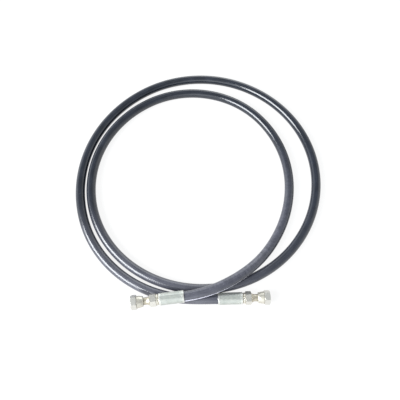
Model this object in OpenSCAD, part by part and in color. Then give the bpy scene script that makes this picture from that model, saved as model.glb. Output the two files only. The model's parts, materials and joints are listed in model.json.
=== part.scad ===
// Hydraulic hose assembly: a two-wire-braid hose coiled in two turns, with a
// crimped swivel-nut fitting on each end. Millimetres, +Z up. The coil lies on
// the plane z = 0 and the origin is at the middle of the footprint. The near
// side is -Y, the far side +Y, the right-hand side +X.
//
// The hose is a chain of circular bends. Free end A climbs over the coil, free
// end B stays on the floor. Each flexing point is a spherical parting face
// centred on the hose axis.

/* [Hose] */
// Outside diameter of the hose cover
hose_od = 19.1; // [18.9:0.1:19.2]
// Inside diameter of the inner tube
hose_id = 9.5; // [9.4:0.1:10]
// Outside diameter of the inner tube, under the first braid
tube_od = 13.2; // [13:0.1:13.4]
// Thickness of one layer of braided wire
braid_t = 0.58; // [0.5:0.02:0.6]
// Thickness of the rubber between the two braids
middle_t = 0.38; // [0.3:0.02:0.45]

/* [Coil] */
// Place of the start of the first turn, X
start_x = 161.6; // [150:0.1:175]
// Place of the start of the first turn, Y
start_y = -113.5; // [-125:0.1:-100]
// Direction of the hose at the start of the first turn, degrees from +X
start_dir = 62; // [55:1:70]
// First turn: radius going up the right-hand side
turn1_right = 249; // [245:1:252]
// First turn: radius before the far side
turn1_upper = 230; // [227:1:232]
// First turn: radius round the far side
turn1_far = 197.5; // [196:0.5:199]
// First turn: radius round the left side to the near side
turn1_left = 225.5; // [224:0.5:227]
// Second turn: radius along the near side to the right-hand side
turn2_right = 240; // [239:1:241]
// Second turn: radius up the right-hand side to the far side
turn2_far = 245; // [244:1:246]
// Second turn: radius before the left side
turn2_upper = 240; // [239:1:241]
// Second turn: radius down the left side
turn2_left = 264; // [263:1:265]
// Second turn: radius along the near side, under end A
turn2_near = 237; // [236:1:238]

/* [Free ends] */
// Bend radius where end A climbs over the coil
climb_r = 206; // [203:1:210]
// Angle of each of the two bends of the climb
climb_a = 23.5; // [23:0.5:25]
// Bend radius between the climb and ferrule A
tail_r = 237; // [230:1:245]
// Angle of the bend between the climb and ferrule A
tail_a = 17.3; // [16.9:0.1:17.6]
// Bend radius where end B lifts to the height of its nut
lift_r = 300; // [290:1:310]
// Angle of each of the two bends of that lift
lift_a = 5.4; // [5.3:0.1:5.6]
// Radius of the spherical parting face at each flexing point
flex_r = 10.8; // [10.6:0.1:11.5]

/* [Ferrule] */
// Outside diameter of the crimped ferrule
ferrule_d = 22.8; // [22.4:0.1:22.8]
// Distance across the eight crimp flats
crimp_af = 22.3; // [22:0.1:22.8]
// Length of the ferrule
ferrule_l = 46.5; // [44:0.5:48]
// Thickness of the ferrule's inward front flange
flange_t = 2.4; // [2:0.1:3]

/* [Stem] */
// Fluid bore through the stem
stem_bore = 7; // [6:0.1:7.6]
// Stem hexagon across flats
stem_af = 22; // [21:1:24]
// Length of the stem hexagon
stem_hex_l = 11.5; // [11:0.1:12]
// Diameter of the neck the nut turns on
neck_d = 13.4; // [13.2:0.1:13.6]
// Outside diameter of the stem head inside the nut
head_d = 16.8; // [16.4:0.1:17]
// Half angle of the conical sealing seat
seat_a = 37; // [35:1:40]

/* [Swivel nut] */
// Nut hexagon across flats
nut_af = 24; // [24:1:24]
// Length of the nut's hexagon
nut_hex_l = 10.8; // [10.5:0.1:11.5]
// Length of the nut's tapered tail
nut_tail_l = 12.4; // [12:0.1:13]
// Diameter of the thread at its crests
thread_d = 17.4; // [17.2:0.1:17.5]
// Play between neighbouring pieces, on the radius
play = 0.04; // [0.03:0.01:0.05]

/* [Hidden] */

cover_colour = [0.055, 0.06, 0.085];
braid_colour = [0.72, 0.70, 0.62];
middle_colour = [0.10, 0.10, 0.10];
tube_colour = [0.07, 0.07, 0.07];
ferrule_colour = [0.80, 0.82, 0.81];
stem_colour = [0.83, 0.80, 0.70];
ring_colour = [0.62, 0.60, 0.56];
nut_colour = [0.84, 0.81, 0.70];

past = 1;              // how far a cutter runs past a face

// ---- layers of the hose from the inside out, each [inner radius, outer radius] ----
function layer_over(inside, thickness) = [inside[1] + play, inside[1] + play + thickness];
inner_tube = [hose_id / 2, tube_od / 2];
inner_braid = layer_over(inner_tube, braid_t);
middle_rubber = layer_over(inner_braid, middle_t);
outer_braid = layer_over(middle_rubber, braid_t);
cover = [outer_braid[1] + play, hose_od / 2];

// ---- stations along a fitting, from the rear face of the ferrule outwards ----
hose_in = ferrule_l - flange_t - 1.8;          // end face of the hose inside the ferrule
lock_start = hose_in + 0.1;                    // locking shoulder of the stem
lock_end = ferrule_l - flange_t - 0.05;
stem_hex_start = ferrule_l + 5;
stem_hex_end = stem_hex_start + stem_hex_l;
nut_start = stem_hex_end + 12;                 // rear end of the nut, nut fully forward
nut_l = nut_tail_l + nut_hex_l;
groove_start = 3.6;                            // ring groove, measured inside the nut
groove_w = 1.8;
ring_gap = 0.05;                               // play between the ring and its groove
head_start = nut_start + groove_start + groove_w + ring_gap;
head_end = nut_start + nut_tail_l - 0.4;
grips = [for (i = [0:6]) 6 + 5 * i];           // rear ends of the gripping grooves

// ---- radii shared by the pieces of a fitting ----
ferrule_r = ferrule_d / 2;
neck_r = neck_d / 2;
mouth_r = neck_r + 1.2;                        // hole in the ferrule's front flange
thread_r = thread_d / 2;
nut_bore_r = neck_r + 0.08;
groove_r = thread_r + 0.6;

// ---- heights of the hose axis ----
z_floor = hose_od / 2;
z_a = hose_od + ferrule_r + 0.15;              // end A rests on the coil
z_b = nut_af / 2;                              // end B rests on a flat of its nut

// ---- path ----
// A state is [point, direction]. A bend is [radius, angle, roll]: roll is how
// far it is turned up out of the level plane. A straight is [0, length, 0].
// Hand is 1 where the bends turn left and -1 where they turn right.
function left_of(dir) = let(left = cross([0, 0, 1], dir)) left / norm(left);
function up_of(dir) = cross(dir, left_of(dir));
function toward_centre(dir, roll, hand) =
    hand * cos(roll) * left_of(dir) + sin(roll) * up_of(dir);
function step(state, bend, hand) =
    let(point = state[0], dir = state[1], radius = bend[0], angle = bend[1],
        inward = toward_centre(dir, bend[2], hand))
    radius == 0 ? [point + angle * dir, dir]
    : [point + radius * (sin(angle) * dir + (1 - cos(angle)) * inward),
       cos(angle) * dir + sin(angle) * inward];
function walk(state, bends, hand, i = 0) =
    i >= len(bends) ? [state]
    : concat([state], walk(step(state, bends[i], hand), bends, hand, i + 1));
function last(list) = list[len(list) - 1];

// two equal bends that climb by rise and finish level again
function climb(radius, angle, rise) =
    let(roll_sin = rise / (2 * radius * (1 - cos(angle))),
        pitch = asin(sin(angle) * roll_sin))
    [[radius, angle, asin(roll_sin)], [radius, angle, -asin(tan(pitch) / tan(angle))]];

lift_b = climb(lift_r, lift_a, z_b - z_floor);

coil_bends = [
    [turn1_right, 28, 0], [turn1_upper, 40, 0], [turn1_far, 80, 0], [turn1_left, 120, 0],
    [turn2_right, 80, 0], [turn2_far, 120, 0], [turn2_upper, 40, 0], [turn2_left, 80, 0],
    [turn2_near, 67.5, 0], lift_b[0]
];
end_b_bends = [lift_b[1], [0, hose_in, 0]];
tail_a_bends = climb(climb_r, climb_a, z_a - z_floor);
end_a_bends = [[tail_r, tail_a, 0], [0, hose_in, 0]];

// the coil and end B run forwards from the start, tail A and end A backwards
start = [[start_x, start_y, z_floor], [cos(start_dir), sin(start_dir), 0]];
coil_path = walk(start, coil_bends, 1);
end_b_path = walk(last(coil_path), end_b_bends, 1);
tail_a_path = walk([start[0], -start[1]], tail_a_bends, -1);
end_a_path = walk(last(tail_a_path), end_a_bends, -1);
fitting_a = end_a_path[1];                     // rear face of ferrule A
fitting_b = end_b_path[1];                     // rear face of ferrule B

// ---- placing ----
// matrix that takes the local axes to x, y, z and the local origin to origin
function frame(x, y, z, origin) =
    concat([for (i = [0:2]) [x[i], y[i], z[i], origin[i]]], [[0, 0, 0, 1]]);

// puts local Z along the state's direction, local X to its left, local Y upwards
module place(state) {
    dir = state[1];
    multmatrix(frame(left_of(dir), up_of(dir), dir, state[0])) children();
}

// ---- hose ----
seam = 0.05;           // gap left at the ends of each stretch
joint_l = 0.4;         // length of a joint ring
joint_recess = 0.05;   // how far a joint ring lies inside both faces of its layer

module pipe(inner_r, outer_r, length) {
    difference() {
        cylinder(r = outer_r, h = length, $fn = 64);
        translate([0, 0, -past]) cylinder(r = inner_r, h = length + 2 * past, $fn = 64);
    }
}

module straight(state, length, layer) {
    place(state) translate([0, 0, seam]) pipe(layer[0], layer[1], length - seam);
}

module arc(state, bend, hand, layer) {
    radius = bend[0];
    dir = state[1];
    inward = toward_centre(dir, bend[2], hand);
    seam_angle = seam / radius * 180 / PI;
    multmatrix(frame(-inward, dir, cross(-inward, dir), state[0] + radius * inward))
        rotate([0, 0, seam_angle])
        rotate_extrude(angle = bend[1] - 2 * seam_angle, $fn = 192)
            translate([radius, 0]) difference() {
                circle(r = layer[1], $fn = 48);
                circle(r = layer[0], $fn = 48);
            }
}

module stretch(state, bend, hand, layer) {
    if (bend[0] == 0) straight(state, bend[1], layer);
    else arc(state, bend, hand, layer);
}

// short recessed ring that joins two neighbouring stretches into one solid
module joint_ring(state, layer) {
    place(state) translate([0, 0, -joint_l / 2])
        pipe(layer[0] + joint_recess, layer[1] - joint_recess, joint_l);
}

// domed end of a layer, behind the state's point: the moving half of a flexing point
module dome(state, layer) {
    place(state) rotate_extrude($fn = 96) intersection() {
        translate([layer[0], -flex_r - past])
            square([layer[1] - layer[0], flex_r + past - seam]);
        circle(r = flex_r, $fn = 96);
    }
}

// a run of one layer: domed says its start is the moving half of a flexing
// point, cups lists the states where a neighbour's dome turns
module run(path, bends, hand, layer, domed = false, cups = []) {
    difference() {
        union() {
            for (i = [0:len(bends) - 1]) stretch(path[i], bends[i], hand, layer);
            for (i = [domed ? 0 : 1:1:len(bends) - 1]) joint_ring(path[i], layer);
            if (domed) dome(path[0], layer);
        }
        for (cup = cups) translate(cup[0]) sphere(r = flex_r + play, $fn = 96);
    }
}

module coil(layer)
    run(coil_path, coil_bends, 1, layer, cups = [coil_path[0], last(coil_path)]);
module tail_a(layer)
    run(tail_a_path, tail_a_bends, -1, layer, domed = true, cups = [last(tail_a_path)]);
module end_a(layer) run(end_a_path, end_a_bends, -1, layer, domed = true);
module end_b(layer) run(end_b_path, end_b_bends, 1, layer, domed = true);

// ---- fittings, each built along +Z from the ferrule's rear face ----
function corner_r(across_flats, sides) = across_flats / 2 / cos(180 / sides);

// hexagon with turned corners; rear and front are [radius of the end face,
// length of the turned cone]
module turned_hexagon(across_flats, z, length, rear, front) {
    outer_r = corner_r(across_flats, 6);
    intersection() {
        translate([0, 0, z]) cylinder(r = outer_r, h = length, $fn = 6);
        rotate_extrude($fn = 128) polygon([
            [0, z], [rear[0], z], [outer_r, z + rear[1]],
            [outer_r, z + length - front[1]], [front[0], z + length], [0, z + length]
        ]);
    }
}

module crimp_ferrule() {
    socket_r = hose_od / 2 + play;
    rear_chamfer = 0.8;
    front_chamfer = 0.7;
    rear_rim_l = 4;
    front_rim = ferrule_l - 4.5;   // rear end of the front rim
    round_inset = 3;               // crimped middle from each end: its round limit
    flats_inset = 2;               // and its eight flats
    tooth_depth = 0.45;
    tooth_gap = 3;
    lead_in = 0.6;
    difference() {
        union() {
            // plain rim at each end
            rotate_extrude($fn = 128) polygon([
                [socket_r, 0], [ferrule_r - rear_chamfer, 0], [ferrule_r, rear_chamfer],
                [ferrule_r, rear_rim_l], [socket_r, rear_rim_l]
            ]);
            rotate_extrude($fn = 128) polygon([
                [mouth_r, front_rim], [ferrule_r, front_rim],
                [ferrule_r, ferrule_l - front_chamfer],
                [ferrule_r - front_chamfer, ferrule_l], [mouth_r, ferrule_l]
            ]);
            // crimped middle
            intersection() {
                translate([0, 0, round_inset])
                    cylinder(r = ferrule_r, h = ferrule_l - 2 * round_inset, $fn = 128);
                translate([0, 0, flats_inset]) rotate([0, 0, 22.5])
                    cylinder(r = corner_r(crimp_af, 8), h = ferrule_l - 2 * flats_inset, $fn = 8);
            }
        }
        // hose socket, with the grooves between the gripping teeth
        translate([0, 0, -past])
            cylinder(r = socket_r, h = ferrule_l - flange_t + past, $fn = 64);
        for (z = grips)
            translate([0, 0, z]) cylinder(r = socket_r + tooth_depth, h = tooth_gap, $fn = 64);
        cylinder(r = mouth_r, h = ferrule_l + past, $fn = 64);
        // lead-in at the hose's side
        translate([0, 0, -0.01])
            cylinder(r1 = socket_r + lead_in, r2 = socket_r, h = lead_in, $fn = 64);
    }
}

// hex_turn is the angle of the hexagon about the axis
module hose_stem(hex_turn) {
    bore_r = stem_bore / 2;
    nipple_r = hose_id / 2 - play;
    grip_r = nipple_r - 0.4;       // bottom of the gripping grooves
    lock_r = ferrule_r - 2.6;
    shank_r = mouth_r - play;
    head_r = head_d / 2;
    seat_r = head_r - 0.9;         // open end of the sealing seat
    seat_depth = (seat_r - bore_r) / tan(seat_a);
    hex_end = [corner_r(stem_af, 6) - 1.5, 0.9];
    // half section, [radius, z]
    profile = concat(
        // nipple
        [[bore_r, 0.5], [nipple_r - 0.5, 0.5], [nipple_r, 2]],
        [for (z = grips) each
            [[nipple_r, z], [grip_r, z + 0.6], [grip_r, z + 1.4], [nipple_r, z + 2.6]]],
        // locking shoulder and shank through the ferrule's flange
        [[nipple_r, lock_start], [lock_r, lock_start], [lock_r, lock_end],
         [shank_r, lock_end], [shank_r, ferrule_l + 0.3],
        // collar behind the hexagon, then the core inside it
         [9.3, ferrule_l + 0.3], [9.3, ferrule_l + 1.6], [10.4, ferrule_l + 2],
         [10.4, stem_hex_start + 0.5], [9.6, stem_hex_start + 0.9], [9.6, stem_hex_end - 0.4],
        // taper down to the neck
         [9.2, stem_hex_end + 0.5], [neck_r + 1.5, stem_hex_end + 1.8],
         [neck_r + 0.5, stem_hex_end + 4.2], [neck_r, stem_hex_end + 6],
        // head
         [neck_r, head_start], [head_r - 0.3, head_start], [head_r, head_start + 0.3],
         [head_r, head_end - 0.6], [head_r - 0.4, head_end], [bore_r, head_end]]
    );
    difference() {
        union() {
            rotate_extrude($fn = 128) polygon(profile);
            rotate([0, 0, hex_turn])
                turned_hexagon(stem_af, stem_hex_start, stem_hex_l, hex_end, hex_end);
        }
        translate([0, 0, -past]) cylinder(r = bore_r, h = head_end + 2 * past, $fn = 64);
        // conical sealing seat
        translate([0, 0, head_end - seat_depth])
            cylinder(r1 = bore_r, r2 = seat_r, h = seat_depth, $fn = 96);
        translate([0, 0, head_end - 0.001]) cylinder(r = seat_r, h = past, $fn = 96);
    }
}

// wire ring that sits in the nut's groove and stops against the stem head
module retaining_ring() {
    inner_r = nut_bore_r;
    outer_r = groove_r - 0.05;
    width = groove_w - 2 * ring_gap;
    inner_chamfer = 0.2;
    outer_chamfer = 0.25;
    translate([0, 0, nut_start + groove_start + ring_gap])
        rotate_extrude($fn = 96) polygon([
            [inner_r, inner_chamfer], [inner_r + inner_chamfer, 0],
            [outer_r - outer_chamfer, 0], [outer_r, outer_chamfer],
            [outer_r, width - outer_chamfer], [outer_r - outer_chamfer, width],
            [inner_r + inner_chamfer, width], [inner_r, width - inner_chamfer]
        ]);
}

module swivel_nut() {
    flat_r = nut_af / 2;
    tail_r_front = flat_r - 0.3;
    tail_overlap = 1;              // length of the tail inside the hexagon
    chamber_start = groove_start + 0.1;
    chamber_end = nut_tail_l - 0.3;
    mouth_flare = 0.9;
    translate([0, 0, nut_start]) difference() {
        union() {
            // tapered tail, [radius, z]
            rotate_extrude($fn = 128) polygon([
                [neck_r, 0], [8.6, 0], [9.3, 0.6], [10.3, 3.6], [11.2, 8],
                [tail_r_front, nut_tail_l], [tail_r_front, nut_tail_l + tail_overlap],
                [neck_r, nut_tail_l + tail_overlap]
            ]);
            turned_hexagon(nut_af, nut_tail_l, nut_hex_l,
                rear = [flat_r - 0.2, 1.2], front = [flat_r - 0.3, 1.1]);
        }
        // neck bore, ring groove, chamber round the stem head, thread, flared mouth
        translate([0, 0, -past]) cylinder(r = nut_bore_r, h = nut_l, $fn = 96);
        translate([0, 0, groove_start]) cylinder(r = groove_r, h = groove_w, $fn = 96);
        translate([0, 0, chamber_start])
            cylinder(r = thread_r + 0.25, h = chamber_end - chamber_start, $fn = 96);
        translate([0, 0, nut_tail_l - past]) cylinder(r = thread_r, h = nut_l, $fn = 96);
        translate([0, 0, nut_l - 0.8])
            cylinder(r1 = thread_r, r2 = thread_r + mouth_flare, h = mouth_flare, $fn = 96);
    }
}

// ---- the nodes ----
module cover_coil() color(cover_colour) coil(cover);
module outer_braid_coil() color(braid_colour) coil(outer_braid);
module middle_rubber_coil() color(middle_colour) coil(middle_rubber);
module inner_braid_coil() color(braid_colour) coil(inner_braid);
module inner_tube_coil() color(tube_colour) coil(inner_tube);
module cover_tail_a() color(cover_colour) tail_a(cover);
module outer_braid_tail_a() color(braid_colour) tail_a(outer_braid);
module middle_rubber_tail_a() color(middle_colour) tail_a(middle_rubber);
module inner_braid_tail_a() color(braid_colour) tail_a(inner_braid);
module inner_tube_tail_a() color(tube_colour) tail_a(inner_tube);
module cover_end_a() color(cover_colour) end_a(cover);
module outer_braid_end_a() color(braid_colour) end_a(outer_braid);
module middle_rubber_end_a() color(middle_colour) end_a(middle_rubber);
module inner_braid_end_a() color(braid_colour) end_a(inner_braid);
module inner_tube_end_a() color(tube_colour) end_a(inner_tube);
module cover_end_b() color(cover_colour) end_b(cover);
module outer_braid_end_b() color(braid_colour) end_b(outer_braid);
module middle_rubber_end_b() color(middle_colour) end_b(middle_rubber);
module inner_braid_end_b() color(braid_colour) end_b(inner_braid);
module inner_tube_end_b() color(tube_colour) end_b(inner_tube);
module ferrule_a() color(ferrule_colour) place(fitting_a) crimp_ferrule();
module stem_a() color(stem_colour) place(fitting_a) hose_stem(hex_turn = 7.7);
module retaining_ring_a() color(ring_colour) place(fitting_a) retaining_ring();
module swivel_nut_a() color(nut_colour) place(fitting_a) swivel_nut();
module ferrule_b() color(ferrule_colour) place(fitting_b) crimp_ferrule();
module stem_b() color(stem_colour) place(fitting_b) hose_stem(hex_turn = 10.5);
module retaining_ring_b() color(ring_colour) place(fitting_b) retaining_ring();
module swivel_nut_b() color(nut_colour) place(fitting_b) swivel_nut();

cover_coil();
outer_braid_coil();
middle_rubber_coil();
inner_braid_coil();
inner_tube_coil();
cover_tail_a();
outer_braid_tail_a();
middle_rubber_tail_a();
inner_braid_tail_a();
inner_tube_tail_a();
cover_end_a();
outer_braid_end_a();
middle_rubber_end_a();
inner_braid_end_a();
inner_tube_end_a();
cover_end_b();
outer_braid_end_b();
middle_rubber_end_b();
inner_braid_end_b();
inner_tube_end_b();
ferrule_a();
stem_a();
retaining_ring_a();
swivel_nut_a();
ferrule_b();
stem_b();
retaining_ring_b();
swivel_nut_b();
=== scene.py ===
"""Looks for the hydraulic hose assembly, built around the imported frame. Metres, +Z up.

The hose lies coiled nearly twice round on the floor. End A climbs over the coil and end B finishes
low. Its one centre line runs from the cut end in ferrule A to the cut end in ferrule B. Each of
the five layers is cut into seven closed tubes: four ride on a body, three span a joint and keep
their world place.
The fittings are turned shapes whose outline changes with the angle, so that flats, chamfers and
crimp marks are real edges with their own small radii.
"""

import json
import math

import bmesh
import bpy
import numpy as np
from mathutils import Matrix, Vector


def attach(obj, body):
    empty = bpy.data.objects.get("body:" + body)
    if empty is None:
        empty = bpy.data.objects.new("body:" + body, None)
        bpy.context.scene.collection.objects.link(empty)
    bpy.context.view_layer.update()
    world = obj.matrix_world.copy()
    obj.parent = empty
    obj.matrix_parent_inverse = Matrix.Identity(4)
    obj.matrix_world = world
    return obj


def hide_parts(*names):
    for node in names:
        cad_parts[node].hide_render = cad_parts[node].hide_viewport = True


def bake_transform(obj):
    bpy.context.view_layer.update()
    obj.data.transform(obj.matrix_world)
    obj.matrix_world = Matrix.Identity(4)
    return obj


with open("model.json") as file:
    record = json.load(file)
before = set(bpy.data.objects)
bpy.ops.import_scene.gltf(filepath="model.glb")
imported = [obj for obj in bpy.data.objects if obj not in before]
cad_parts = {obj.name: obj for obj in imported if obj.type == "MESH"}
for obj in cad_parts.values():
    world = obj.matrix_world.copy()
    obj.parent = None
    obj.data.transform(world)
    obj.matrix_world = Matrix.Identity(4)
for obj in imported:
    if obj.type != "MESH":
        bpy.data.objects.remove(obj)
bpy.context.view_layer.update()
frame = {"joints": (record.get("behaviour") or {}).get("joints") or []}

MM = 0.001
DEG = math.pi / 180

# ---------------------------------------------------------------- centre line, in mm

HOSE_R = 9.55
HOSE_IN = 42.3  # length of hose inside a ferrule
Z_REST = HOSE_R  # heights of the centre line: on the floor, at end A and at end B
Z_A = 30.65
Z_B = 12.0
STRAIGHT = (0, HOSE_IN, 0.0)


def left_of(heading):
    across = np.cross((0.0, 0.0, 1.0), heading)
    return across / np.linalg.norm(across)


def up_of(heading):
    return np.cross(heading, left_of(heading))


def bend_at(point, heading, bend, hand, run):
    """Point and heading after an arc length on a bend.

    A bend is (radius, angle, roll), or (0, length, 0) for a straight. Hand is 1 to turn left and
    -1 to turn right, and roll tilts the turn upwards.
    """
    radius, _, roll = bend
    if radius == 0:
        return point + run * heading, heading
    inward = hand * math.cos(roll) * left_of(heading) + math.sin(roll) * up_of(heading)
    turn = run / radius
    return (
        point + radius * (math.sin(turn) * heading + (1 - math.cos(turn)) * inward),
        math.cos(turn) * heading + math.sin(turn) * inward,
    )


def climb(radius, degrees, rise):
    """Two equal bends that climb by rise and finish level again."""
    angle = degrees * DEG
    tilt = rise / (2 * radius * (1 - math.cos(angle)))
    pitch = math.asin(math.sin(angle) * tilt)
    return [
        (radius, angle, math.asin(tilt)),
        (radius, angle, -math.asin(math.tan(pitch) / math.tan(angle))),
    ]


def flat(radius, degrees):
    return (radius, degrees * DEG, 0.0)


def chain(point, heading, bends, hand):
    """Each bend as (point, heading, bend, hand, length), and the state after the last."""
    links = []
    for bend in bends:
        length = bend[0] * bend[1] if bend[0] else bend[1]
        links.append((point, heading, bend, hand, length))
        point, heading = bend_at(point, heading, bend, hand, length)
    return links, (point, heading)


# the coil's level bends: radius, degrees
COIL = [
    (249, 28), (230, 40), (197.5, 80), (225.5, 120), (240, 80),
    (245, 120), (240, 40), (264, 80), (237, 67.5),
]
LIFT_POINT = np.array([161.6, -113.5, Z_REST])
LIFT_HEADING = np.array([math.cos(62 * DEG), math.sin(62 * DEG), 0.0])
rise_b = climb(300, 5.4, Z_B - Z_REST)
rise_a = climb(206, 23.5, Z_A - Z_REST)

# from the lift joint forwards to end B, then backwards to end A
coil, state = chain(LIFT_POINT, LIFT_HEADING, [flat(*bend) for bend in COIL] + rise_b[:1], 1)
SWING_B_POINT = state[0]
end_b, _ = chain(*state, [rise_b[1], STRAIGHT], 1)
tail, state = chain(LIFT_POINT, -LIFT_HEADING, rise_a, -1)
SWING_A_POINT = state[0]
end_a, _ = chain(*state, [flat(237, 17.3), STRAIGHT], -1)
# a fitting starts where its straight starts: point, heading
FIT_A = end_a[1][:2]
FIT_B = end_b[1][:2]

# the whole hose from end A to end B: (link, whether it is run backwards)
line = [(link, True) for link in reversed(tail + end_a)]
line += [(link, False) for link in coil + end_b]
marks = np.concatenate([[0.0], np.cumsum([link[4] for link, _ in line])])
LENGTH = float(marks[-1])
SWING_A = sum(link[4] for link in end_a)
LIFT = SWING_A + sum(link[4] for link in tail)
SWING_B = LIFT + sum(link[4] for link in coil)


def at(s):
    """Point and heading of the centre line at arc length s from end A."""
    s = min(max(float(s), 0.0), LENGTH)
    i = min(int(np.searchsorted(marks, s, side="right")) - 1, len(line) - 1)
    (*start, length), backwards = line[i]
    run = s - marks[i]
    if backwards:
        point, heading = bend_at(*start, length - run)
        return point, -heading
    return bend_at(*start, run)


# the frame decides: the joints' own places have to be on this line
joints = {joint["name"]: joint for joint in frame["joints"]}
for name, point in (("a_lift", LIFT_POINT), ("a_swing", SWING_A_POINT), ("b_swing", SWING_B_POINT)):
    gap = np.linalg.norm(np.array(joints[name]["pos_m"]) / MM - point)
    if gap > 0.05:
        raise SystemExit(f"the line misses joint {name} by {gap:.3f} mm")

# ---------------------------------------------------------------- material helpers


class Nodes:
    """An emptied node tree."""

    def __init__(self, tree):
        self.tree = tree
        tree.nodes.clear()

    def node(self, kind):
        return self.tree.nodes.new(kind)

    def put(self, socket, value):
        if isinstance(value, bpy.types.NodeSocket):
            self.tree.links.new(value, socket)
        elif isinstance(value, (tuple, list)) and len(value) == 3 and socket.type == "RGBA":
            socket.default_value = (*value, 1.0)
        else:
            socket.default_value = value


class Net(Nodes):
    """A Principled material built by small calls. Lengths in metres."""

    def __init__(self, name):
        self.mat = bpy.data.materials.new(name)
        self.mat.use_nodes = True
        super().__init__(self.mat.node_tree)
        out = self.node("ShaderNodeOutputMaterial")
        self.bsdf = self.node("ShaderNodeBsdfPrincipled")
        self.tree.links.new(self.bsdf.outputs[0], out.inputs[0])

    def finish(self, **inputs):
        for key, value in inputs.items():
            self.put(self.bsdf.inputs[key.replace("_", " ")], value)
        return self.mat

    def attribute(self, name, output="Vector"):
        n = self.node("ShaderNodeAttribute")
        n.attribute_type = "GEOMETRY"
        n.attribute_name = name
        return n.outputs[output]

    def math(self, operation, a, b=0.0, c=0.0, clamp=False):
        n = self.node("ShaderNodeMath")
        n.operation = operation
        n.use_clamp = clamp
        for i, value in enumerate((a, b, c)):
            self.put(n.inputs[i], value)
        return n.outputs[0]

    def times(self, value, by):
        return self.math("MULTIPLY", value, by)

    def sine(self, angle, by):
        return self.math("SINE", self.times(angle, by))

    def stretch(self, vector, by):
        n = self.node("ShaderNodeVectorMath")
        n.operation = "MULTIPLY"
        self.put(n.inputs[0], vector)
        n.inputs[1].default_value = by
        return n.outputs[0]

    def split(self, vector):
        n = self.node("ShaderNodeSeparateXYZ")
        self.put(n.inputs[0], vector)
        return n.outputs

    def along_only(self, z):
        n = self.node("ShaderNodeCombineXYZ")
        for i, value in enumerate((0.0, 0.0, z)):
            self.put(n.inputs[i], value)
        return n.outputs[0]

    def noise(self, vector, scale, detail=2.0, rough=0.5, distortion=0.0, stretch=None):
        if stretch:
            vector = self.stretch(vector, stretch)
        n = self.node("ShaderNodeTexNoise")
        self.put(n.inputs["Vector"], vector)
        n.inputs["Scale"].default_value = scale
        n.inputs["Detail"].default_value = detail
        n.inputs["Roughness"].default_value = rough
        n.inputs["Distortion"].default_value = distortion
        return n.outputs["Fac"]

    def cell_edges(self, vector, scale, stretch):
        vector = self.stretch(vector, stretch)
        n = self.node("ShaderNodeTexVoronoi")
        n.feature = "DISTANCE_TO_EDGE"
        self.put(n.inputs["Vector"], vector)
        n.inputs["Scale"].default_value = scale
        return n.outputs["Distance"]

    def remap(self, value, span, to=(0.0, 1.0)):
        n = self.node("ShaderNodeMapRange")
        n.clamp = True
        for i, v in enumerate((value, *span, *to)):
            self.put(n.inputs[i], v)
        return n.outputs[0]

    def mix(self, fac, under, over):
        n = self.node("ShaderNodeMix")
        n.data_type = "RGBA"
        self.put(n.inputs[0], fac)
        self.put(n.inputs[6], under)
        self.put(n.inputs[7], over)
        return n.outputs[2]

    def bumps(self, *layers):
        """Stacked bumps, each (height from 0 to 1, depth in metres)."""
        normal = None
        for height, depth in layers:
            n = self.node("ShaderNodeBump")
            n.inputs["Strength"].default_value = 1.0
            n.inputs["Distance"].default_value = depth
            self.put(n.inputs["Height"], height)
            if normal is not None:
                self.put(n.inputs["Normal"], normal)
            normal = n.outputs[0]
        return normal


# ---------------------------------------------------------------- materials
# "lay" holds rest coordinates: x left, y up, z along. The fittings' edge value is 1 on edges
# lightened by wear and painted highlight, and -1 in corners darkened as painted shade.


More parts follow.
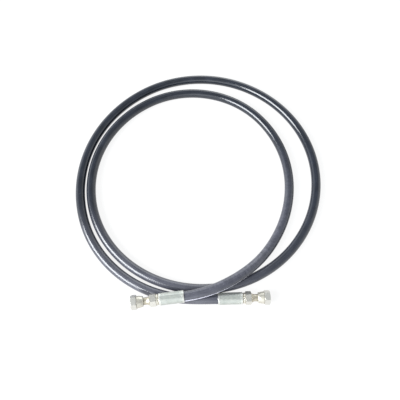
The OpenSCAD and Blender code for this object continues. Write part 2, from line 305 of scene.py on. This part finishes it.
def cover_material():
    """Near-black rubber with a blue cast, a waxy skin, drag lines, dust, painted light at the front
    left and near end A, and a pale lay-line stripe that is a painted highlight.
    """
    m = Net("cover_rubber")
    lay = m.attribute("lay")
    s = m.split(lay)[2]
    clouds = m.noise(lay, scale=28, detail=3, rough=0.55)
    patches = m.noise(lay, scale=95, detail=4, rough=0.6, distortion=0.4, stretch=(1, 1, 0.35))
    drag = m.noise(lay, scale=1500, detail=3, rough=0.6, stretch=(1, 1, 0.03))
    grain = m.noise(lay, scale=2600)
    specks = m.remap(m.noise(lay, scale=1300, detail=1), span=(0.70, 0.80))
    x, y, _ = m.split(lay)

    # base colour, paler in worn patches and drag lines
    deep = m.mix(
        m.remap(clouds, span=(0.35, 0.65)),
        under=(0.0040, 0.0064, 0.0125),
        over=(0.0074, 0.0106, 0.0190),
    )
    worn = m.mix(m.remap(patches, span=(0.42, 0.72)), deep, over=(0.0140, 0.0184, 0.0300))
    lines = m.remap(drag, span=(0.52, 0.80), to=(0.0, 0.35))
    lined = m.mix(lines, worn, over=(0.033, 0.039, 0.053))

    # chalky film: handling marks across the hose near end A, and painted light: the front left of
    # the coil made paler
    # painted light: near end A the film is heavier on the hose's left side, which is its lit upper
    # side there
    chalk_near_a_and_lit_side = m.times(
        m.remap(s, span=(0.20, 0.52), to=(1.0, 0.0)),
        m.remap(x, span=(-0.0095, 0.0095), to=(0.55, 1.15)),
    )
    across = m.noise(
        lay, scale=185, detail=4, rough=0.66, distortion=0.5, stretch=(0.45, 0.45, 1.0)
    )
    chalk_and_painted_light = m.times(chalk_near_a_and_lit_side, m.remap(across, span=(0.34, 0.66), to=(0.52, 1.12)))
    # painted light: paler towards the front left of the coil, where the light falls brighter
    place = m.split(m.node("ShaderNodeNewGeometry").outputs["Position"])
    front = m.times(
        m.remap(place[1], span=(-0.235, -0.045), to=(1.0, 0.0)),
        m.remap(place[0], span=(-0.02, 0.19), to=(1.0, 0.25)),
    )
    front = m.times(front, m.remap(patches, span=(0.35, 0.65), to=(0.70, 1.0)))
    chalk_and_painted_light = m.math("MAXIMUM", chalk_and_painted_light, front)
    chalk_and_painted_light = m.times(chalk_and_painted_light, m.remap(drag, span=(0.35, 0.65), to=(0.84, 1.12)))
    colour = m.mix(m.times(chalk_and_painted_light, by=0.72), lined, over=(0.121, 0.121, 0.151))

    # broken thin scrapes along the hose
    scrape = m.cell_edges(lay, scale=190, stretch=(1, 1, 0.14))
    scrape = m.remap(scrape, span=(0.0, 0.022), to=(1.0, 0.0))
    breaks = m.noise(lay, scale=75, detail=3, rough=0.6)
    scrape = m.times(scrape, m.remap(breaks, span=(0.52, 0.62), to=(0.0, 0.30)))
    colour = m.mix(scrape, colour, over=(0.105, 0.105, 0.115))

    # painted highlight: a pale lay-line stripe along tail A's lower edge, standing in for a bright
    # edge highlight; it starts on the right, seen from end A, and works its way underneath
    line_start, line_twist, twist_end = math.pi - 0.32, 2.6, 0.6  # radians, radians/m, m
    turn = m.math("ARCTAN2", y, x)
    centre = m.math("MULTIPLY_ADD", m.math("MINIMUM", s, twist_end), line_twist, line_start)
    off = m.math("ABSOLUTE", m.sine(m.math("SUBTRACT", turn, centre), by=0.5))
    ragged = m.math("ADD", off, m.remap(grain, span=(0.3, 0.7), to=(-0.012, 0.012)))
    highlight_fade = m.times(
        m.remap(s, span=(0.17, 0.24), to=(1.0, 0.35)),
        m.remap(patches, span=(0.32, 0.66), to=(1.0, 0.70)),
    )
    painted_highlight_line = m.times(m.remap(ragged, span=(0.105, 0.125), to=(1.0, 0.0)), highlight_fade)
    colour = m.mix(painted_highlight_line, colour, over=(0.84, 0.84, 0.98))
    colour = m.mix(m.times(specks, by=0.30), colour, over=(0.14, 0.14, 0.15))

    sheen = m.remap(patches, span=(0.3, 0.75), to=(0.15, 0.21))
    waves = m.noise(lay, scale=130, stretch=(1, 1, 0.45))
    return m.finish(
        Specular_IOR_Level=0.5,
        IOR=1.68,
        Base_Color=colour,
        Roughness=m.math("ADD", sheen, m.times(chalk_and_painted_light, by=0.10)),
        Normal=m.bumps((waves, 0.00003), (drag, 0.000003), (grain, 0.000002)),
    )


def rubber_material(name, dark, light, rough):
    """Matte rubber with fine calender marks and mottling."""
    m = Net(name)
    lay = m.attribute("lay")
    mottle = m.noise(lay, scale=210, detail=4, rough=0.6)
    lines = m.noise(lay, scale=1700, stretch=(1, 1, 0.05))
    line_colour = tuple(2.2 * c for c in light)
    colour = m.mix(m.remap(mottle, span=(0.3, 0.7)), dark, light)
    colour = m.mix(m.remap(lines, span=(0.55, 0.8), to=(0, 0.4)), colour, line_colour)
    return m.finish(
        Specular_IOR_Level=0.4,
        Base_Color=colour,
        Roughness=m.remap(mottle, span=(0.3, 0.7), to=(rough - 0.06, rough + 0.08)),
        Normal=m.bumps((lines, 0.00002), (mottle, 0.00006)),
    )


def braid_material(name, lean):
    """Brass-coated wire: bands of parallel wires that cross over and under."""
    lay_length = 0.0385  # along the hose for one turn of a band
    bands, wires = 12, 8
    m = Net(name)
    lay = m.attribute("lay")
    x, y, s = m.split(lay)
    turn = m.math("ARCTAN2", y, x)
    along = m.times(s, by=lean * 2 * math.pi / lay_length)
    one = m.times(m.math("ADD", turn, along), by=bands)
    two = m.times(m.math("SUBTRACT", turn, along), by=bands)
    wave_one, wave_two = m.sine(one, by=0.5), m.sine(two, by=0.5)
    top = m.remap(m.times(wave_one, wave_two), span=(-0.06, 0.06))

    def relief(band, crossing):
        """Height of one set of bands: crowned where it crosses, with round wires."""
        wire = m.math("ABSOLUTE", m.sine(band, by=wires * 0.5))
        crown = m.math("ABSOLUTE", crossing)
        crown_share, wire_share = 0.6, 0.4
        return m.math("MULTIPLY_ADD", crown, crown_share, m.times(wire, by=wire_share))

    height = m.math(
        "ADD",
        m.times(top, relief(one, wave_two)),
        m.times(m.math("SUBTRACT", 1.0, top), relief(two, wave_one)),
    )
    tone = m.noise(lay, scale=140, detail=3, rough=0.6)
    colour = m.mix(
        m.remap(tone, span=(0.3, 0.7)), under=(0.56, 0.44, 0.24), over=(0.66, 0.60, 0.47)
    )
    # painted shade: the braid is darkened where its relief is low, between and under the wires
    painted_crease_shade = m.remap(height, span=(0.15, 0.6), to=(0.8, 0.0))
    return m.finish(
        Metallic=1.0,
        Base_Color=m.mix(painted_crease_shade, colour, over=(0.055, 0.046, 0.034)),
        Roughness=m.remap(tone, span=(0.3, 0.7), to=(0.26, 0.42)),
        Normal=m.bumps((height, 0.0003)),
    )


def zinc_material(name, pale, deep, stain, rough, turned, metal, highlight_bands):
    """Passivated zinc: cloudy tint, turning marks, scratches, edges lightened by wear and painted
    highlight, and painted shade in corners.

    The highlight bands are painted highlight: lighter colour given as (start mm, end mm, gain)
    along the fitting.
    """
    m = Net(name)
    lay = m.attribute("lay")
    wear_glint_shade = m.attribute("wear_glint_shade", "Fac")
    along = m.split(lay)[2]
    cloud = m.noise(lay, scale=85, detail=4, rough=0.6, distortion=0.3)
    spots = m.noise(lay, scale=330, detail=3, rough=0.6)
    turn_marks = m.noise(m.along_only(along), scale=5200, rough=0.6)
    ripple = m.noise(m.along_only(along), scale=900)
    scratch = m.cell_edges(lay, scale=620, stretch=(1, 0.16, 0.55))
    fine = m.noise(lay, scale=5200, rough=0.55)

    scratch_colour = tuple(min(1.0, c * 1.25) for c in pale)
    colour = m.mix(m.remap(cloud, span=(0.34, 0.66)), deep, pale)
    colour = m.mix(m.remap(spots, span=(0.56, 0.78), to=(0, 0.5)), colour, stain)
    colour = m.mix(m.remap(scratch, span=(0.0, 0.045), to=(0.22, 0.0)), colour, scratch_colour)
    # painted shade: grooves, corners and recesses darkened
    painted_corner_shade = m.remap(wear_glint_shade, span=(-1.0, 0.0), to=(0.82, 0.0))
    colour = m.mix(painted_corner_shade, colour, over=(0.075, 0.066, 0.052))
    # painted highlight: lighter bands along the fitting where it catches the light
    fade = 0.3
    for start, end, gain in highlight_bands:
        band = m.times(
            m.remap(along, span=((start - fade) * MM, start * MM)),
            m.remap(along, span=(end * MM, (end + fade) * MM), to=(1.0, 0.0)),
        )
        colour = m.mix(band, colour, m.stretch(colour, (gain, gain, gain)))
    # lighter edges: rubbed plating, with painted highlight on rims and thread crests
    edge_wear_and_highlight = m.remap(wear_glint_shade, span=(0.0, 1.0), to=(0.0, 0.75))
    colour = m.mix(edge_wear_and_highlight, colour, over=(0.74, 0.73, 0.69))

    roughness = m.math(
        "ADD",
        m.remap(cloud, span=(0.3, 0.7), to=(rough + 0.06, rough - 0.05)),
        m.remap(spots, span=(0.45, 0.75), to=(-0.03, 0.09)),
    )
    return m.finish(
        Metallic=metal,
        Base_Color=colour,
        Roughness=m.math("ADD", roughness, m.times(edge_wear_and_highlight, by=-0.10), clamp=True),
        Normal=m.bumps(
            (turn_marks, 0.000010 * turned),
            (ripple, 0.000030 * turned),
            (fine, 0.000006),
            (spots, 0.000030),
        ),
    )


def wire_material():
    """Bright spring wire with drawn lines."""
    m = Net("spring_wire")
    lay = m.attribute("lay")
    tone = m.noise(lay, scale=420, detail=3, rough=0.6)
    drawn = m.noise(lay, scale=9000, stretch=(0.2, 0.2, 1))
    return m.finish(
        Metallic=1.0,
        Base_Color=m.mix(
            m.remap(tone, span=(0.3, 0.7)), under=(0.34, 0.33, 0.32), over=(0.55, 0.54, 0.52)
        ),
        Roughness=m.remap(drawn, span=(0.3, 0.7), to=(0.22, 0.36)),
        Normal=m.bumps((drawn, 0.000012)),
    )


COVER = cover_material()
OUTER_BRAID = braid_material("outer_braid_wire", lean=1.0)
BONDING = rubber_material(
    "bonding_rubber", dark=(0.018, 0.018, 0.019), light=(0.030, 0.030, 0.032), rough=0.62
)
INNER_BRAID = braid_material("inner_braid_wire", lean=-1.0)
INNER_TUBE = rubber_material(
    "tube_rubber", dark=(0.010, 0.010, 0.011), light=(0.021, 0.021, 0.022), rough=0.44
)
FERRULE = zinc_material(
    "ferrule_zinc",
    pale=(0.545, 0.565, 0.530),
    deep=(0.425, 0.455, 0.425),
    stain=(0.515, 0.505, 0.385),
    rough=0.40,
    turned=1.0,
    metal=0.72,
    highlight_bands=[(42.8, 47.0, 1.25)],
)
STEM = zinc_material(
    "stem_zinc",
    pale=(0.545, 0.505, 0.415),
    deep=(0.415, 0.38, 0.295),
    stain=(0.47, 0.39, 0.26),
    rough=0.37,
    turned=1.0,
    metal=0.80,
    highlight_bands=[(46.0, 51.4, 1.35), (63.4, 80.0, 1.10)],
)
NUT = zinc_material(
    "nut_zinc",
    pale=(0.480, 0.460, 0.405),
    deep=(0.365, 0.350, 0.305),
    stain=(0.42, 0.375, 0.28),
    rough=0.38,
    turned=0.6,
    metal=0.80,
    highlight_bands=[(74.0, 87.3, 1.45)],
)
WIRE = wire_material()

# ---------------------------------------------------------------- hose layers


def add_object(name, data):
    o = bpy.data.objects.new(name, data)
    bpy.context.scene.collection.objects.link(o)
    return o


def make(name, verts, faces, lay, material, sharp=44, wear_glint_shade=None):
    """A mesh object from vertices in mm, with its rest coordinates stored for the materials."""
    me = bpy.data.meshes.new(name)
    me.from_pydata((np.asarray(verts) * MM).tolist(), [], faces)
    me.attributes.new("lay", "FLOAT_VECTOR", "POINT").data.foreach_set(
        "vector", (np.asarray(lay) * MM).astype(np.float32).ravel()
    )
    if wear_glint_shade is not None:
        me.attributes.new("wear_glint_shade", "FLOAT", "POINT").data.foreach_set(
            "value", np.asarray(wear_glint_shade, np.float32)
        )
    me.materials.append(material)
    bm = bmesh.new()
    bm.from_mesh(me)
    bmesh.ops.remove_doubles(bm, verts=bm.verts, dist=1e-7)
    bmesh.ops.dissolve_degenerate(bm, edges=bm.edges, dist=1e-8)
    bmesh.ops.recalc_face_normals(bm, faces=bm.faces)
    bm.to_mesh(me)
    bm.free()
    me.shade_smooth()
    me.set_sharp_from_angle(angle=sharp * DEG)
    me.update()
    return add_object(name, me)


def skin_radius(angle, s):
    """The cover's outside: slow, small waves, and a swelling where a ferrule squeezes it."""
    waves = (
        np.sin(s / 31.0 + 1.3) * np.cos(angle + 0.7)
        + 0.7 * np.sin(s / 13.7 + 2 * angle)
        + 0.5 * np.sin(s / 7.9 - angle + 2.1)
    )
    radius = HOSE_R - 0.05 * (0.5 + waves / 4.4)
    for rim in (HOSE_IN + 2.0, LENGTH - HOSE_IN - 2.0):
        radius = radius + 0.22 * math.exp(-(((s - rim) / 2.2) ** 2))
    if min(s, LENGTH - s) < HOSE_IN + 0.05:
        radius = np.minimum(radius, 9.5)  # clear of the ferrule's bore
    return radius


def tube(name, s0, s1, inner, outer, material, skin):
    """A closed length of hose layer between two arc lengths."""
    step, sides = (3.6, 64) if skin else (5.5, 36)
    steps = max(3, math.ceil((s1 - s0) / step))
    angle = 2 * math.pi * np.arange(sides) / sides
    verts, lay = [], []
    for wall in (outer, inner):
        for s in np.linspace(s0, s1, steps + 1):
            point, heading = at(s)
            radius = skin_radius(angle, s) if skin and wall == outer else wall
            x, y = radius * np.cos(angle), radius * np.sin(angle)
            verts.extend(point + np.outer(x, left_of(heading)) + np.outer(y, up_of(heading)))
            lay.extend(np.stack([x, y, np.full(sides, s)], 1))
    base = (steps + 1) * sides  # first vertex of the inner wall
    around = [(k, (k + 1) % sides) for k in range(sides)]
    faces = []
    for a in range(0, steps * sides, sides):
        b = a + sides
        for k, l in around:
            faces.append((a + k, a + l, b + l, b + k))
            faces.append((base + a + k, base + b + k, base + b + l, base + a + l))
    for a in (0, steps * sides):
        for k, l in around:
            quad = (a + k, base + a + k, base + a + l, a + l)
            faces.append(quad if a == 0 else quad[::-1])
    return make(name, verts, faces, lay, material, sharp=40)


# layer: inner radius, outer radius, material, slot
LAYERS = {
    "cover": (8.30, HOSE_R, COVER, "hose_cover"),
    "outer_braid": (7.68, 8.26, OUTER_BRAID, "braid_wire"),
    "middle_rubber": (7.26, 7.64, BONDING, "bonding_rubber"),
    "inner_braid": (6.64, 7.22, INNER_BRAID, "braid_wire"),
    "inner_tube": (4.75, 6.60, INNER_TUBE, "inner_tube"),
}
# part: the body it rides on, or the two whose joint it spans
PARTS = {
    "end_a": ("end_a",),
    "flex_a": ("end_a", "tail_a"),
    "tail_a": ("tail_a",),
    "flex_lift": ("tail_a", "coil"),
    "coil": ("coil",),
    "flex_b": ("coil", "end_b"),
    "end_b": ("end_b",),
}
# arc lengths between the parts: each flex reaches before and after its joint
CUTS = [
    0.0,
    SWING_A - 64.0, SWING_A + 60.0,
    LIFT - 45.0, LIFT + 45.0,
    SWING_B - 27.0, SWING_B + 27.0,
    LENGTH,
]
INSET = 2.5  # distance in from a flex part's end to a point that is worked out and not used

for layer, (inner, outer, material, slot) in LAYERS.items():
    for (part, bodies), s0, s1 in zip(PARTS.items(), CUTS, CUTS[1:]):
        name = f"hose_{layer}_{part}"
        o = tube(name, s0, s1, inner, outer, material, skin=layer == "cover")
        if len(bodies) == 1:
            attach(o, bodies[0])
        else:
            end, _ = at(s1 - INSET)
            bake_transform(o)
        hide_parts(*[f"{layer}_{body}" for body in bodies])

# ---------------------------------------------------------------- fittings, in mm
# Outline points are (along, radius, rounding[, edge value]), along from the ferrule's hose end. The
# edge value lightens edges above 0 (wear and painted highlight) and paints shade into corners below
# 0.

FERRULE_R = 11.4
FERRULE_LENGTH = 46.5
FERRULE_BORE = 9.59
PRESS_START, PRESS_END = 3.4, 42.6
GRIPS = [6 + 5 * i for i in range(7)]  # starts of the ferrule's grooves and the stem's barbs
STEM_AF = 22.0
STEM_BORE = 3.5
NUT_AF = 24.0
NUT_AT = 75.0
NUT_TAIL = 12.4  # length of the nut behind its hexagon
NUT_LENGTH = 23.2
NUT_BORE = 6.80
GROOVE = 3.6  # snap ring groove, from the nut's back
HEX_CORNER = 0.45
MOUTH_R = 9.62
THREAD_START, THREAD_END = 12.1, 22.75
PITCH = 25.4 / 16
CREST_R = 8.7


def soften(loop):
    """Rounds a closed outline: each corner with a rounding becomes four points."""
    points = np.array([point[:2] for point in loop], float)
    out = []
    for i, (_, _, rounding, *given) in enumerate(loop):
        corner = points[i]
        wear_glint_shade = given[0] if given else float(rounding > 0)
        if rounding <= 0:
            out.append((*corner, wear_glint_shade))
            continue
        ends = []
        to_last, to_next = points[i - 1] - corner, points[(i + 1) % len(loop)] - corner
        sizes = np.linalg.norm(to_last), np.linalg.norm(to_next)
        reach = min(rounding, 0.42 * sizes[0], 0.42 * sizes[1])
        for way, size in zip((to_last, to_next), sizes):
            ends.append(corner + way / max(size, 1e-9) * reach)
        for w in (0.0, 1 / 3, 2 / 3, 1.0):
            q = (1 - w) ** 2 * ends[0] + 2 * w * (1 - w) * corner + w * w * ends[1]
            out.append((*q, wear_glint_shade))
    return out


def turned(name, fit, outline, angles, material, closed=True):
    """A ring solid whose outline at each angle is outline(angle), or an open one with ends."""
    point, heading = fit
    left, up = left_of(heading), up_of(heading)
    verts, lay, wear_glint_shade = [], [], []
    for angle in angles:
        loop = outline(angle)
        for along, radius, wear_glint_shade_value in loop:
            x, y = radius * math.cos(angle), radius * math.sin(angle)
            verts.append(point + x * left + y * up + along * heading)
            lay.append((x, y, along))
            wear_glint_shade.append(wear_glint_shade_value)
    rows, turns = len(loop), len(angles)
    faces = []
    for i in range(turns if closed else turns - 1):
        a, b = i * rows, (i + 1) % turns * rows
        for k in range(rows):
            l = (k + 1) % rows
            faces.append((a + k, b + k, b + l, a + l))
    if not closed:
        faces.append(tuple(range(rows)))
        faces.append(tuple(reversed(range((turns - 1) * rows, turns * rows))))
        return make(name, verts, faces, lay, material)
    o = make(name, verts, faces, lay, material, wear_glint_shade=wear_glint_shade)
    normals = o.modifiers.new("even_normals", "WEIGHTED_NORMAL")
    normals.keep_sharp = True
    normals.weight = 60
    return o


def corner_limit(apothem):
    """Half the angle that a hexagon's rounded corner takes up."""
    return math.pi / 6 - math.atan((apothem - HEX_CORNER) * math.tan(math.pi / 6) / apothem)


def hexagon(angle, across_flats, roll):
    """Distance from the axis to a hexagon's side at an angle, with rounded corners."""
    apothem = across_flats / 2
    turn = (angle - roll) % (math.pi / 3)
    off = min(turn, math.pi / 3 - turn)  # from the nearest corner
    if off < corner_limit(apothem):
        centre = (apothem - HEX_CORNER) / math.cos(math.pi / 6)
        half_chord = math.sqrt(max(0.0, HEX_CORNER**2 - (centre * math.sin(off)) ** 2))
        return centre * math.cos(off) + half_chord
    return apothem / math.cos(math.pi / 6 - off)


def hex_angles(across_flats, roll):
    """Angles with a vertex on every corner, close together round it."""
    limit = corner_limit(across_flats / 2)
    out = []
    for i in range(6):
        corner = roll + i * math.pi / 3
        out += [corner + w * limit for w in (-1, -0.5, 0, 0.5)]
        out += list(np.linspace(corner + limit, corner + math.pi / 3 - limit, 21)[:-1])
    return out


def ease(x):
    x = min(max(x, 0.0), 1.0)
    return x * x * (3 - 2 * x)


def ferrule_outline(angle):
    """Crimped ferrule: plain rims, eight pressed lands with ribs between, a grooved bore."""
    lip = 7.9
    land = (angle / (math.pi / 4)) % 1.0
    off = min(land, 1 - land) * math.pi / 4  # from the middle of the nearest land
    press = FERRULE_R - min(FERRULE_R, 11.08 / math.cos(off))
    stations = [
        *(0.95, 1.9, 2.8),
        *np.linspace(PRESS_START, 5.6, 9),
        *np.linspace(7.2, 38.8, 22),
        *np.linspace(40.4, PRESS_END, 9),
        *(43.4, 44.4, 45.55),
    ]
    loop = [(0.0, 10.15, 0.25), (0.0, 11.35, 0.85)]
    for u in stations:
        # the pressing fades out over 2 mm at each end
        depth = ease((u - PRESS_START) / 2.0) * ease((PRESS_END - u) / 2.0)
        belly = 0.05 * math.sin(math.pi * ease((u - PRESS_START) / (PRESS_END - PRESS_START)))
        # ribs between the lands are lightened, and the plain rims are lightened as painted
        # highlight
        wear_glint_shade = 0.55 if (off > 0.36 and 5 < u < 41) else 0.0
        if u < 3.2 or u > 42.9:
            wear_glint_shade = 0.85
        loop.append((u, FERRULE_R - (press + belly) * depth, 0.0, wear_glint_shade))
    loop += [
        (FERRULE_LENGTH, 11.35, 0.8),
        (FERRULE_LENGTH, lip, 0.3),
        (44.1, lip, 0.0, -0.6),
        (44.1, FERRULE_BORE, 0.0, -1.0),
    ]
    for u in reversed(GRIPS):
        loop += [
            (u + 3, FERRULE_BORE, 0.0, -0.8),
            (u + 3, FERRULE_BORE + 0.45, 0.0, -1.0),
            (u, FERRULE_BORE + 0.45, 0.0, -1.0),
            (u, FERRULE_BORE, 0.0, -0.8),
        ]
    loop += [(0.6, FERRULE_BORE, 0.0, -0.6)]
    return soften(loop)


def stem_outline(angle, roll):
    """Stem: barbed nipple, collar, hexagon, neck and a head with a conical mouth."""
    side = hexagon(angle, STEM_AF, roll)
    hex_start, hex_end = 51.5, 63.0
    face_r = 10.85  # where the chamfers meet the hexagon's end faces
    chamfer = (side - face_r) * 0.9 / 1.85
    nipple = 4.71
    # a fourth value lightens edges above 0 and paints shade into grooves below 0
    loop = [(0.5, STEM_BORE, 0.15), (0.5, nipple - 0.5, 0.15), (2.0, nipple, 0.1)]
    for u in GRIPS:
        loop += [
            (u, nipple, 0.05),
            (u + 0.6, nipple - 0.4, 0.0, -0.5),
            (u + 1.4, nipple - 0.4, 0.0, -0.5),
            (u + 2.6, nipple, 0.05),
        ]
    loop += [
        # collars
        (42.4, nipple, 0.0, -0.8), (42.4, 8.8, 0.15), (44.05, 8.8, 0.15),
        (44.05, 7.86, 0.0, -1.0), (46.8, 7.86, 0.0, -1.0), (46.8, 9.3, 0.2, 0.2),
        (48.1, 9.3, 0.0, -0.7), (48.45, 10.4, 0.35), (51.1, 10.4, 0.25, 0.4),
        (51.3, 9.9, 0.0, -1.0), (51.5, 9.95, 0.0, -0.6),
        # hexagon
        (hex_start, face_r, 0.22), (hex_start + chamfer, side, 0.24),
        (hex_end - chamfer, side, 0.24), (hex_end, face_r, 0.22),
        # neck
        (hex_end, 9.75, 0.0, -0.7), (63.35, 9.25, 0.0, -0.3), (63.9, 8.75, 0.0),
        (64.8, 8.2, 0.0), (66.0, 7.62, 0.0), (67.2, 7.2, 0.0), (68.1, 6.92, 0.0),
        (69.0, 6.76, 0.0), (70.4, 6.7, 0.0), (74.0, 6.7, 0.0, -0.35), (80.45, 6.7, 0.0, -0.9),
        # head and conical mouth
        (80.45, 8.4, 0.3), (87.0, 8.4, 0.45), (87.0, 7.5, 0.2), (81.69, STEM_BORE, 0.1),
    ]
    loop += [(u, STEM_BORE, 0.0, -0.5) for u in (70.0, 55.0, 40.0, 20.0)]
    return soften(loop)


def thread_radius(u, angle):
    """Internal 60 degree thread that fades out at both ends; u is from the nut's back."""
    phase = ((u - THREAD_START) / PITCH - angle / (2 * math.pi)) % 1.0
    ridge = abs(2 * phase - 1)  # 1 at the crest, 0 at the root
    depth = min(max((1 - ridge - 0.125) / 0.75, 0.0), 1.0) * 0.83
    return CREST_R + depth * ease((u - THREAD_START) / 0.9) * ease((THREAD_END - u) / 0.5)


def nut_outline(angle):
    """Swivel nut: flared tail, chamfered hexagon, threaded mouth and an inside groove."""
    side = hexagon(angle, NUT_AF, 0.0)
    back_r, front_r = 11.80, 11.70  # where the chamfers meet the hexagon's end faces
    back = 1.2 / 2.06 * (side - back_r)
    front = 1.1 / 2.16 * (side - front_r)
    # a fourth value lightens edges above 0 and paints shade into grooves below 0
    loop = [
        (0.0, NUT_BORE, 0.25), (0.0, 8.75, 0.45, 0.6), (0.95, 9.62, 0.30, 0.3),
        (2.2, 9.98, 0.0), (3.6, 10.32, 0.0), (5.6, 10.72, 0.0), (8.0, 11.12, 0.0),
        (10.6, 11.42, 0.0), (12.0, 11.55, 0.0, -0.5), (NUT_TAIL, 11.60, 0.0, -0.9),
        (NUT_TAIL, back_r, 0.0, -0.1), (NUT_TAIL + back, side, 0.26),
        (NUT_LENGTH - front, side, 0.26), (NUT_LENGTH, front_r, 0.22),
        (NUT_LENGTH, MOUTH_R, 0.22, 0.7),
    ]
    out = soften([(NUT_AT + u, *rest) for u, *rest in loop])
    # thread, from the mouth inwards
    for u in np.arange(22.6, 12.05, -PITCH / 13):
        r = thread_radius(u, angle)
        if u > 22.35:
            r = max(r, MOUTH_R - (NUT_LENGTH - u) * 1.1)
        # thread crests lighter as painted highlight, roots darker as painted shade
        out.append((NUT_AT + u, r, 0.35 if r < 8.8 else (-0.75 if r > 9.4 else -0.2)))
    # along, radius, edge value (below 0: painted shade)
    inside = [
        (12.05, 8.95, -0.8), (5.4, 8.95, -0.8), (5.4, 9.3, -1.0),
        (GROOVE, 9.3, -1.0), (GROOVE, NUT_BORE, -0.6),
    ]
    return out + [(NUT_AT + u, r, wear_glint_shade) for u, r, wear_glint_shade in inside]


def ring_outline(_angle):
    """Snap ring: rounded flat wire."""
    start, width, outer = NUT_AT + GROOVE + 0.05, 1.68, 9.22
    end = start + width
    corners = [(start, NUT_BORE), (start, outer), (end, outer), (end, NUT_BORE)]
    return soften([(u, r, 0.45) for u, r in corners])


def place(o, body, part, slot):
    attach(o, body)
    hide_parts(part)


FERRULE_ANGLES = []
for i in range(8):
    FERRULE_ANGLES += list(i * math.pi / 4 + np.linspace(-math.pi / 8, math.pi / 8, 25)[:-1])
RING_ANGLES = np.linspace(0.10, 2 * math.pi - 0.10, 90)  # leaves a small gap

for end, fit, roll in (("a", FIT_A, 7.7 * DEG), ("b", FIT_B, 10.5 * DEG)):
    o = turned(f"crimp_ferrule_{end}", fit, ferrule_outline, FERRULE_ANGLES, FERRULE)
    place(o, f"end_{end}", f"ferrule_{end}", "ferrule_zinc")
    outline = lambda angle: stem_outline(angle, roll)
    o = turned(f"hose_stem_{end}", fit, outline, hex_angles(STEM_AF, roll), STEM)
    place(o, f"end_{end}", f"stem_{end}", "stem_zinc")
    o = turned(f"snap_ring_{end}", fit, ring_outline, RING_ANGLES, WIRE, closed=False)
    place(o, f"ring_{end}", f"retaining_ring_{end}", "spring_wire")
    o = turned(f"hex_swivel_nut_{end}", fit, nut_outline, hex_angles(NUT_AF, 0.0), NUT)
    place(o, f"nut_{end}", f"swivel_nut_{end}", "nut_zinc")

# ---------------------------------------------------------------- floor, light and camera


def floor():
    """Pale studio floor."""
    me = bpy.data.meshes.new("studio_floor")
    h, z = 6.0, -0.0003
    me.from_pydata([(-h, -h, z), (h, -h, z), (h, h, z), (-h, h, z)], [], [(0, 1, 2, 3)])
    m = Net("studio_floor")
    grain = m.noise(m.node("ShaderNodeTexCoord").outputs["Object"], scale=3.0)
    m.finish(
        Roughness=0.9,
        Specular_IOR_Level=0.1,
        Base_Color=m.mix(grain, under=(0.105, 0.105, 0.108), over=(0.120, 0.120, 0.120)),
        Emission_Color=(1.0, 1.0, 1.0),
        Emission_Strength=0.88,
    )
    me.materials.append(m.mat)
    add_object("studio_floor", me)


# soft patches of light: direction, power (higher is tighter), strength
PANELS = [
    ((0.0, 0.12, 0.99), 22, 0.45),
    ((0.15, 0.92, 0.33), 14, 2.40),
    ((-0.15, -0.86, 0.48), 9, 1.45),
    ((0.95, 0.20, 0.40), 8, 0.60),
    ((-0.80, 0.52, 0.25), 8, 0.90),
]


def studio_world():
    """A base light, a glow at the horizon and the panels."""
    base, horizon, seen_tone = 0.26, 0.75, 0.96
    world = bpy.data.worlds.new("studio")
    bpy.context.scene.world = world
    world.use_nodes = True
    net = Nodes(world.node_tree)
    out = net.node("ShaderNodeOutputWorld")
    background = net.node("ShaderNodeBackground")
    way = net.node("ShaderNodeTexCoord").outputs["Generated"]

    def calc(operation, a, b=0.0):
        n = net.node("ShaderNodeMath")
        n.operation = operation
        net.put(n.inputs[0], a)
        net.put(n.inputs[1], b)
        return n.outputs[0]

    split = net.node("ShaderNodeSeparateXYZ")
    net.put(split.inputs[0], way)
    low = calc("POWER", calc("SUBTRACT", 1.0, calc("ABSOLUTE", split.outputs[2])), 2.0)
    light = calc("ADD", base, calc("MULTIPLY", low, horizon))
    for towards, power, strength in PANELS:
        dot = net.node("ShaderNodeVectorMath")
        dot.operation = "DOT_PRODUCT"
        net.put(dot.inputs[0], way)
        dot.inputs[1].default_value = Vector(towards).normalized()
        facing = calc("POWER", calc("MAXIMUM", dot.outputs["Value"], 0.0), power)
        light = calc("ADD", light, calc("MULTIPLY", facing, strength))
    # the camera itself sees one pale tone beyond the floor
    seen = net.node("ShaderNodeLightPath").outputs["Is Camera Ray"]
    unseen = calc("MULTIPLY", light, calc("SUBTRACT", 1.0, seen))
    net.put(background.inputs[1], calc("ADD", unseen, calc("MULTIPLY", seen, seen_tone)))
    background.inputs[0].default_value = (0.935, 0.975, 1.0, 1.0)
    net.put(out.inputs[0], background.outputs[0])


def key_lamp():
    """Large softbox above the left, facing the middle of the coil."""
    light = bpy.data.lights.new("key", "AREA")
    light.shape = "RECTANGLE"
    light.size, light.size_y = 3.1, 2.2
    light.energy = 312
    light.color = (0.945, 0.975, 1.0)
    o = add_object("key", light)
    aim, distance = Vector((0.0, 0.0, 0.01)), 4.0
    back = Vector((-0.72, -0.33, 0.61)).normalized()
    o.location = aim + back * distance
    long_side = Vector((0.743, -0.669, 0.0))
    x = (long_side - long_side.dot(back) * back).normalized()
    o.rotation_euler = Matrix((x, back.cross(x), back)).transposed().to_euler()


def camera():
    cam = bpy.data.cameras.new("camera")
    cam.sensor_width = 36.0
    cam.lens = 38.7
    cam.clip_end = 50
    o = add_object("camera", cam)
    o.location = (0.0029, -0.3817, 0.8339)
    o.rotation_euler = (22.3 * DEG, 0.0, 0.0)
    bpy.context.scene.camera = o


floor()
studio_world()
key_lamp()
camera()

view = bpy.context.scene.view_settings
view.view_transform = "Standard"
view.look = "None"
view.exposure = 0.0
